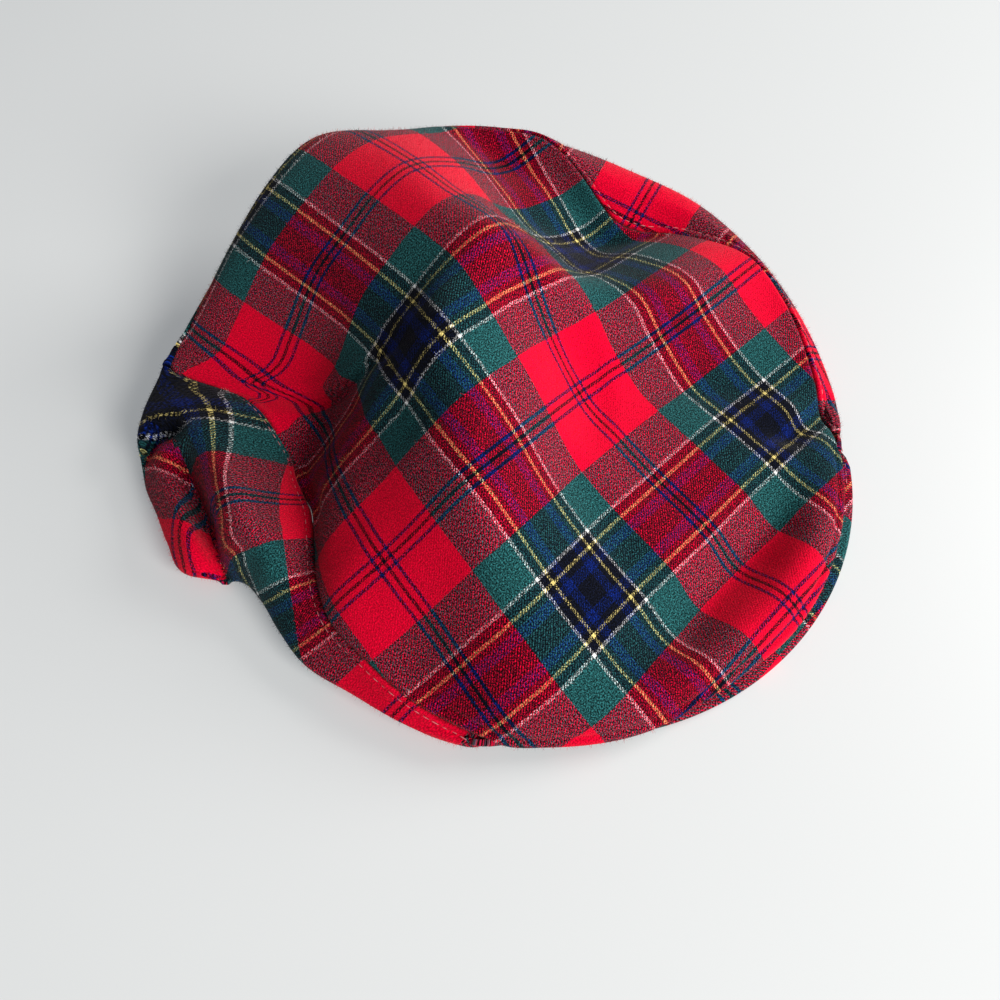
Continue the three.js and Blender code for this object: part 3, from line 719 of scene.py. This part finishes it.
def makeWool(name, groups):
    v = woolValues
    material, n, shader = newMaterial(name)
    place = n.add("ShaderNodeUVMap", {"uv_map": "cloth"})
    weave = n.add("ShaderNodeGroup", {"node_tree": groups["weave"]}, Cloth=place.outputs[0], Threads=v["threads"],
                  Fuzz=v["fuzz"], Blend=v["blend"], Grain=v["grain"])
    warp, weft = yarnsAt(n, groups, place.outputs[0])
    light = [n.math("GREATER_THAN", n.add("ShaderNodeSeparateColor", Color=way).outputs["Green"], v["bright"])
             for way in (warp, weft)]
    beads = n.mix("FLOAT", n.math("SUBTRACT", 1.0, v["veil"]), n.math("SUBTRACT", light[1], light[0], clamp=True),
                  weave.outputs["Over"])
    beads = n.mix("FLOAT", n.math("MULTIPLY", light[0], light[1]), beads, weave.outputs["Over"])
    warpShare = n.mix("FLOAT", n.math("MAXIMUM", light[0], light[1]), weave.outputs["Warp"], beads)
    yarn = n.mix("RGBA", warpShare, weft, warp)
    apart = n.add("ShaderNodeVectorMath", {"operation": "DISTANCE"})
    n.set(apart, "0", warp)
    n.set(apart, "1", weft)
    unlike = n.math("MINIMUM", apart.outputs["Value"], 1.0)
    dull = n.math("SUBTRACT", 1.0, n.add("ShaderNodeSeparateColor", Color=yarn).outputs["Red"])
    swing = n.math("MULTIPLY_ADD", unlike, v["heather"], n.math("MULTIPLY_ADD", dull, v["fleck"], v["calm"]))
    tone = n.math("MULTIPLY_ADD", n.math("SUBTRACT", weave.outputs["Speckle"], 0.5), swing,
                  n.math("MULTIPLY_ADD", unlike, -v["crossDark"], 1.0))
    tint = n.add("ShaderNodeCombineColor", Red=tone, Green=tone, Blue=tone)
    seen = n.mix("RGBA", 1.0, yarn, tint.outputs[0], "MULTIPLY")
    colour = n.add("ShaderNodeGamma", Color=seen, Gamma=v["gamma"])
    bump = n.add("ShaderNodeBump", Strength=v["bump"], Distance=v["bumpDistance"], Height=weave.outputs["Height"])
    n.set(shader, "Base Color", colour.outputs[0])
    n.set(shader, "Normal", bump.outputs[0])
    n.set(shader, "Roughness", v["roughness"])
    n.set(shader, "Specular IOR Level", v["specular"])
    n.set(shader, "Sheen Weight", v["sheen"])
    n.set(shader, "Sheen Roughness", v["sheenRoughness"])
    return material


# Trees that set one small shape on many points of a piece. Lengths are in metres there.
def newTree(name, sizes):
    tree = bpy.data.node_groups.new(name, "GeometryNodeTree")
    tree.interface.new_socket("Geometry", in_out="INPUT", socket_type="NodeSocketGeometry")
    for label in sizes:
        tree.interface.new_socket(label, in_out="INPUT", socket_type="NodeSocketFloat")
    tree.interface.new_socket("Seed", in_out="INPUT", socket_type="NodeSocketInt")
    tree.interface.new_socket("Geometry", in_out="OUTPUT", socket_type="NodeSocketGeometry")
    n = Nodes(tree)
    return tree, n, n.add("NodeGroupInput"), n.add("NodeGroupOutput")


def setOut(n, source, sink, points, shape, towards, long, seed, spread, material):
    # the shape on every point, its Z axis towards a direction, between two shares of its full size
    aim = n.add("FunctionNodeAlignRotationToVector", {"axis": "Z"}, Vector=towards)
    size = n.add("ShaderNodeCombineXYZ", X=source.outputs["Radius"], Y=source.outputs["Radius"], Z=long)
    vary = n.add("FunctionNodeRandomValue", {"data_type": "FLOAT"}, Seed=seed)
    vary.inputs[2].default_value, vary.inputs[3].default_value = spread
    scale = n.add("ShaderNodeVectorMath", {"operation": "SCALE"})
    n.set(scale, "0", size.outputs[0])
    n.set(scale, "Scale", vary.outputs[1])
    each = n.add("GeometryNodeInstanceOnPoints", Points=points, Instance=shape, Rotation=aim.outputs[0],
                 Scale=scale.outputs[0])
    real = n.add("GeometryNodeRealizeInstances", Geometry=each.outputs[0])
    done = n.add("GeometryNodeSetMaterial", Geometry=real.outputs[0], Material=material)
    n.set(sink, "Geometry", done.outputs[0])


def grown(name, base, tree, inputs):
    # a piece grown by the tree from a base mesh, as plain mesh with its modifier gone
    piece = newObject(name, base)
    modifier = piece.modifiers.new(tree.name, "NODES")
    modifier.node_group = tree
    for item in tree.interface.items_tree:
        if item.in_out == "INPUT" and item.name in inputs:
            modifier[item.identifier] = inputs[item.name]
    shaped = bpy.data.meshes.new_from_object(piece.evaluated_get(bpy.context.evaluated_depsgraph_get()))
    shaped.polygons.foreach_set("material_index", np.zeros(len(shaped.polygons), int))
    while len(shaped.materials) > 1:
        shaped.materials.pop(index=0)
    piece.modifiers.clear()
    piece.data = shaped
    piece.data.name = name
    return piece


# Topstitching beside the seam of each side panel.
stitchValues = {"fromSeam": 2.3, "depth": 0.35, "pitch": 3.6, "length": 2.5, "radius": 0.18, "smallest": 0.55,
                "largest": 1.15, "seed": 7}


def seamPath(start, end):
    bearings, rows = sideGrid(start, end)
    surface = crownSurface(bearings, rows)
    normal = gridNormals(surface, False)
    run = arcFrom(surface, "first")
    points = []
    for i in range(1, len(bearings) - 1):
        at = np.interp(stitchValues["fromSeam"], run[i], np.arange(len(rows)))
        j, s = int(at), at - int(at)
        point = surface[i, j] * (1 - s) + surface[i, j + 1] * s
        points.append(point - normal[i, j] * stitchValues["depth"])
    return placed(np.array(points))


def stitchTree(material):
    v = stitchValues
    tree, n, source, sink = newTree("topstitching", ("Pitch", "Length", "Radius"))
    path = n.add("GeometryNodeMeshToCurve", Mesh=source.outputs["Geometry"])
    spaced = n.add("GeometryNodeResampleCurve", {"mode": "LENGTH"}, Curve=path.outputs[0],
                   Length=source.outputs["Pitch"])
    bead = n.add("GeometryNodeMeshUVSphere", Segments=8, Rings=6, Radius=1.0)
    setOut(n, source, sink, spaced.outputs[0], bead.outputs[0], n.add("GeometryNodeInputTangent").outputs[0],
           n.math("MULTIPLY", source.outputs["Length"], 0.5), source.outputs["Seed"], (v["smallest"], v["largest"]),
           material)
    return tree


def makeStitches(name, start, end, tree):
    v = stitchValues
    path = seamPath(start, end)
    line = bpy.data.meshes.new(name + "Path")
    line.from_pydata(path.tolist(), [(i, i + 1) for i in range(len(path) - 1)], [])
    piece = grown(name, line, tree, {"Pitch": v["pitch"] / 1000, "Length": v["length"] / 1000,
                                     "Radius": v["radius"] / 1000, "Seed": v["seed"]})
    smoothFaces(piece.data)
    return piece


threadValues = {"dark": (0.42, 0.06, 0.08, 1), "light": (0.85, 0.30, 0.32, 1), "twist": 1800.0, "roughness": 0.6}


def makeThread():
    v = threadValues
    material, n, shader = newMaterial("pinkThread")
    place = n.add("ShaderNodeTexCoord")
    twist = n.add("ShaderNodeTexNoise", Vector=place.outputs["Object"], Scale=v["twist"], Detail=2.0)
    n.set(shader, "Base Color", n.mix("RGBA", twist.outputs[0], v["dark"], v["light"]))
    n.set(shader, "Roughness", v["roughness"])
    return material


# The nap: short stray fibres over the outside of the cloth, each in the colour of a yarn below it.
def napTree(material):
    v = napValues
    tree, n, source, sink = newTree("napFibres", ("Count", "Length", "Radius", "Lean"))
    spots = n.add("GeometryNodeDistributePointsOnFaces", {"distribute_method": "RANDOM"},
                  Mesh=source.outputs["Geometry"], Density=source.outputs["Count"], Seed=source.outputs["Seed"])
    stray = n.add("FunctionNodeRandomValue", {"data_type": "FLOAT_VECTOR"}, Seed=source.outputs["Seed"])
    stray.inputs[0].default_value, stray.inputs[1].default_value = (-1, -1, -1), (1, 1, 1)
    leaning = n.add("ShaderNodeVectorMath", {"operation": "SCALE"})
    n.set(leaning, "0", stray.outputs[0])
    n.set(leaning, "Scale", source.outputs["Lean"])
    aimed = n.add("ShaderNodeVectorMath", {"operation": "ADD"})
    n.set(aimed, "0", spots.outputs["Normal"])
    n.set(aimed, "1", leaning.outputs[0])
    fibre = n.add("GeometryNodeMeshCone", {"fill_type": "NONE"}, Vertices=3, Radius_Top=0.0, Radius_Bottom=1.0,
                  Depth=1.0)
    setOut(n, source, sink, spots.outputs["Points"], fibre.outputs[0], aimed.outputs[0], source.outputs["Length"],
           n.math("ADD", source.outputs["Seed"], 1.0), (v["shortest"], v["longest"]), material)
    return tree


def makeNap(name, base, count, tree):
    v = napValues
    return grown(name, base, tree, {"Count": count * 1e6, "Length": v["length"] / 1000, "Radius": v["radius"] / 1000,
                                    "Lean": v["lean"], "Seed": v["seed"]})


def makeNapWool(groups):
    material, n, shader = newMaterial("strayFibres")
    place = n.add("ShaderNodeAttribute", {"attribute_name": "napCloth"})
    warp, weft = yarnsAt(n, groups, place.outputs["Vector"])
    chance = n.add("ShaderNodeTexWhiteNoise", {"noise_dimensions": "3D"}, Vector=place.outputs["Vector"])
    yarn = n.mix("RGBA", n.math("GREATER_THAN", chance.outputs["Value"], 0.5), warp, weft)
    n.set(shader, "Base Color", n.add("ShaderNodeGamma", Color=yarn, Gamma=woolValues["gamma"]).outputs[0])
    n.set(shader, "Roughness", napValues["roughness"])
    n.set(shader, "Specular IOR Level", napValues["specular"])
    return material


groups = {"sett": makeSettGroup(), "weave": makeWeaveGroup()}
topPanel = makeTopPanel()
print("top panel made")
backSeam = sidePanelValues["backSeam"]
leftPanel = makeSidePanel("sidePanelLeft", sideEnds["left"], backSeam + sidePanelValues["backTuck"], clothLay["left"])
rightPanel = makeSidePanel("sidePanelRight", backSeam, sideEnds["right"], clothLay["right"])
print("side panels made")
peakCover = makePeak()
print("peak made")
for piece, node, slot in ((topPanel, "top_panel", "top_wool"), (leftPanel, "side_panel_left", "left_wool"),
                          (rightPanel, "side_panel_right", "right_wool"), (peakCover, "peak", "peak_wool")):
    piece.data.materials.append(makeWool(slot, groups))
    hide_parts(node)
    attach(piece, "root")

stitching = stitchTree(makeThread())
for name, start, end in (("stitchesLeft", sideEnds["left"], backSeam),
                         ("stitchesRight", backSeam, sidePanelValues["rightEnd"][0])):
    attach(makeStitches(name, start, end, stitching), "root")
print("stitches made")

fibres = napTree(makeNapWool(groups))
for name, panel, count in (("napTop", "topPanel", "topCount"), ("napLeft", "sidePanelLeft", "sideCount"),
                           ("napRight", "sidePanelRight", "sideCount")):
    nap = makeNap(name, napBases[panel], napValues[count], fibres)
    print(name, len(nap.data.polygons), "faces")
    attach(nap, "root")
print("nap made")


# Floor and light, in metres, and the camera, in millimetres like the shapes.
# The floor glows a little: painted fill light that lifts the cap's shadow on the floor and lights the cap's underside.
floorValues = {"reach": 3, "colour": (0.50, 0.51, 0.51, 1), "paintedFillColour": (0.93, 0.97, 1.0, 1), "paintedFill": 0.24,
               "roughness": 0.45}
lightValues = {"frontPlace": (0.30, -1.70, 1.00), "frontPower": 48, "sidePlace": (1.78, -0.52, 0.88), "sidePower": 40,
               "size": (1.0, 0.8), "colour": (1.0, 0.98, 0.95), "aim": (0, 0, 0.03),
               "worldColour": (0.93, 0.96, 1.0, 1), "worldStrength": 0.21}
cameraValues = {"place": (-118.24, -159.51, 298.27), "looksAlong": (0.294, 0.4045, -0.866), "lens": 30.6,
                "sensor": 36}


def makeFloor():
    v = floorValues
    far = v["reach"]
    mesh = bpy.data.meshes.new("floor")
    mesh.from_pydata([(-far, -far, 0), (far, -far, 0), (far, far, 0), (-far, far, 0)], [], [(0, 1, 2, 3)])
    material, n, shader = newMaterial("paleFloor")
    n.set(shader, "Base Color", v["colour"])
    # painted fill light: the floor's glow brightens its shadowed parts and the cap's underside
    n.set(shader, "Emission Color", v["paintedFillColour"])
    n.set(shader, "Emission Strength", v["paintedFill"])
    n.set(shader, "Roughness", v["roughness"])
    mesh.materials.append(material)
    newObject("floor", mesh)


def addLight(name, place, power):
    v = lightValues
    lamp = bpy.data.lights.new(name, "AREA")
    lamp.shape, lamp.energy, lamp.color = "RECTANGLE", power, v["colour"]
    lamp.size, lamp.size_y = v["size"]
    light = newObject(name, lamp)
    light.location = place
    light.rotation_euler = (Vector(v["aim"]) - Vector(place)).to_track_quat("-Z", "Y").to_euler()


makeFloor()
for name in ("front", "side"):
    addLight(name + "Light", lightValues[name + "Place"], lightValues[name + "Power"])
world = bpy.data.worlds.new("softRoom")
world.use_nodes = True
background = world.node_tree.nodes["Background"]
background.inputs["Color"].default_value = lightValues["worldColour"]
background.inputs["Strength"].default_value = lightValues["worldStrength"]
bpy.context.scene.world = world

lens = bpy.data.cameras.new("camera")
lens.lens, lens.sensor_width = cameraValues["lens"], cameraValues["sensor"]
camera = newObject("camera", lens)
camera.location = placed(np.array(cameraValues["place"]))
camera.rotation_euler = Vector(cameraValues["looksAlong"]).to_track_quat("-Z", "Y").to_euler()
bpy.context.scene.camera = camera
bpy.context.scene.view_settings.view_transform = "Standard"
